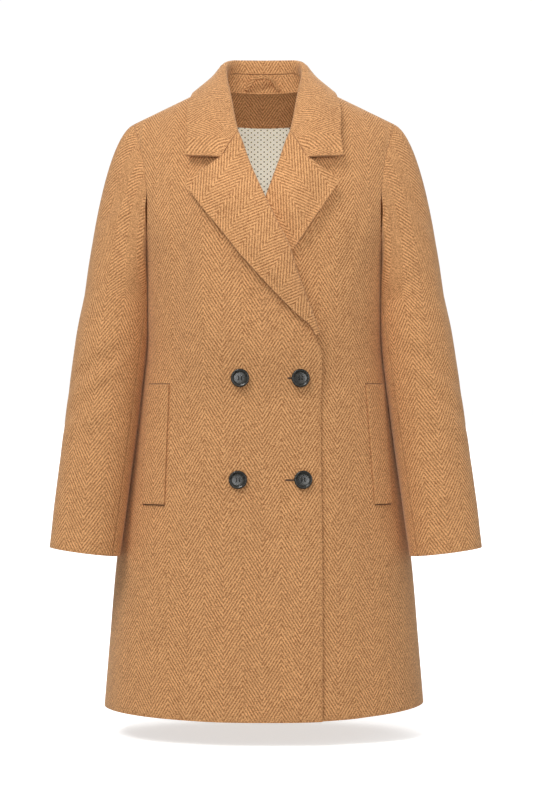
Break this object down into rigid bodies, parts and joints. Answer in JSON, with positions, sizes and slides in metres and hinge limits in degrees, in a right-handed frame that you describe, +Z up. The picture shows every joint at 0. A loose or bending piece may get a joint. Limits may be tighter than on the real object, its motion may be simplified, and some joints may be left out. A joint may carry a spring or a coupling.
{
  "type": "overcoat",
  "caption": "Knee-length double-breasted overcoat, held out hollow as worn, with open neck, cuffs and hem, notched lapels and hip pockets.",
  "frame": {"origin": "middle of the neck opening, level with the inner ends of the shoulder seams, where a wearer's neck or a hanger's hook passes through", "axes": "+X to the wearer's left, +Y from the buttoned front to the back, +Z up from the hem to the collar"},
  "size_m": [0.632, 0.3038, 0.9772],
  "materials": {
    "camel": "soft wool herringbone",
    "lining": "smooth woven lining with small dots",
    "horn": "polished horn look"
  },
  "bodies": {
    "root": {"back": "camel", "back_lining": "lining", "back_neck_facing": "camel", "button_lower_left": "horn", "button_lower_right": "horn", "button_upper_left": "horn", "button_upper_right": "horn", "collar_fall": "camel", "collar_stand": "camel", "facing_left": "camel", "facing_right": "camel", "front_left": "camel", "front_right": "camel", "hanger_loop": "camel", "pocket_welt_left": "camel", "pocket_welt_right": "camel", "top_sleeve_left": "camel", "top_sleeve_right": "camel", "turnback_left": "camel", "turnback_right": "camel", "under_sleeve_left": "camel", "under_sleeve_right": "camel"}
  },
  "joints": []
}
